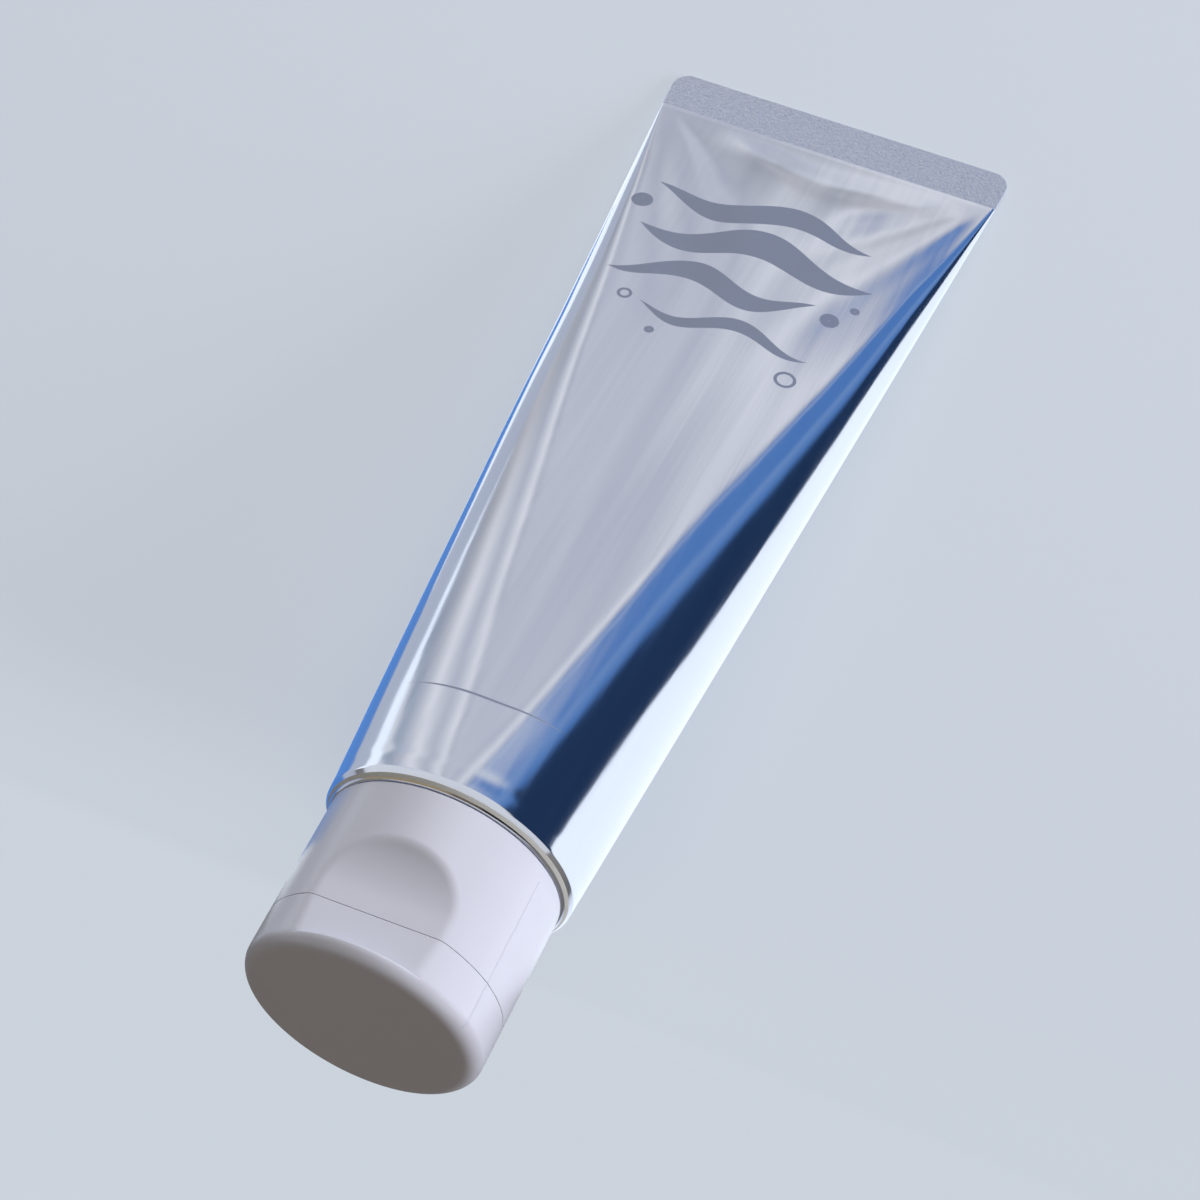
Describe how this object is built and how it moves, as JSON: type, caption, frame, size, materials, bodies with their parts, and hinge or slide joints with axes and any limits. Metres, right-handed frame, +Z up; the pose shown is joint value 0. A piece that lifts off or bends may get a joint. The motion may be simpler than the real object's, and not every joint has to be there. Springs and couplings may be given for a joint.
{
  "type": "toothpaste tube",
  "caption": "Plump laminate toothpaste tube lying on its back, with a flat crimped end and a hinged flip-top cap with a thumb scoop.",
  "frame": {"origin": "middle of the bounding box's footprint, on the surface that the tube lies on", "axes": "+Y along the tube from the cap to the crimp, +X across the crimp, +Z up, towards the front of the tube with the thumb scoop"},
  "size_m": [0.0556, 0.1736, 0.0365],
  "materials": {
    "laminate": "aluminium barrier laminate, mirror-like film, matte pressed crimp",
    "head_plastic": "natural polyethylene, moulded",
    "paste": "smooth paste",
    "cap_plastic": "white polypropylene, moulded glossy"
  },
  "bodies": {
    "tube": {"tube_sleeve": "laminate", "tube_head": "head_plastic", "paste": "paste", "cap_base": "cap_plastic"},
    "lid": {"cap_lid": "cap_plastic"}
  },
  "joints": [
    {"name": "lid_hinge", "type": "hinge", "parent": "tube", "child": "lid", "pos_m": [0.00073, -0.07948, 0.00388], "axis": [0.9989, 0.0054, 0.0457], "range_deg": [0, 170]}
  ]
}
